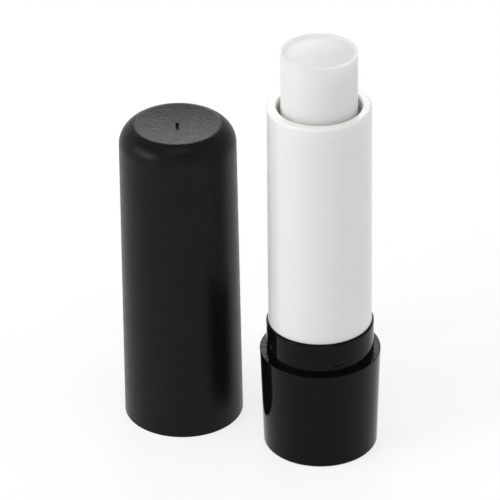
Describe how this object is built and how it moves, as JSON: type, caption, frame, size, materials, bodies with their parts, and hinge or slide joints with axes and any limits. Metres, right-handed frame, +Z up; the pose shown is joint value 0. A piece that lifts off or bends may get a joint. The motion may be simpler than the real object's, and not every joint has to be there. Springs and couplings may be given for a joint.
{
  "type": "lip balm stick",
  "caption": "Twist-up lip balm stick on its base: round barrel, turning base with a collar, screw-driven balm raised above the rim, and a push-on cap standing beside it.",
  "frame": {"origin": "centre of the base's foot, on the surface that the stick stands on", "axes": "+Z up the stick's axis towards the balm; -Y towards the picture's camera; the loose cap stands towards -X and +Y"},
  "size_m": [0.0409, 0.0287, 0.0702],
  "materials": {
    "cap_black": "satin moulded plastic, fine spark texture on the top",
    "barrel_white": "satin white moulded plastic",
    "base_black": "polished black moulded plastic",
    "works_white": "natural white moulded plastic",
    "balm_wax": "smooth off-white wax balm, slightly translucent"
  },
  "bodies": {
    "barrel": {"barrel": "barrel_white"},
    "base": {"base_shell": "base_black", "spindle": "works_white"},
    "carrier": {"carrier": "works_white", "balm": "balm_wax"},
    "cap": {"cap": "cap_black"}
  },
  "joints": [
    {"name": "base_twist", "type": "hinge", "parent": "barrel", "child": "base", "pos_m": [0, 0, 0.0057], "axis": [0, 0, -1], "range_deg": [-954, 2812]},
    {"name": "carrier_travel", "type": "slide", "parent": "barrel", "child": "carrier", "axis": [0, 0, 1], "range_m": [-0.0106, 0.03125]},
    {"name": "cap_lift", "type": "slide", "parent": "barrel", "child": "cap", "axis": [0, 0, 1], "range_m": [0, 0.08]}
  ],
  "couplings": [
    {"joint": "carrier_travel", "follows": "base_twist", "m_per_rad": 0.00063662}
  ]
}
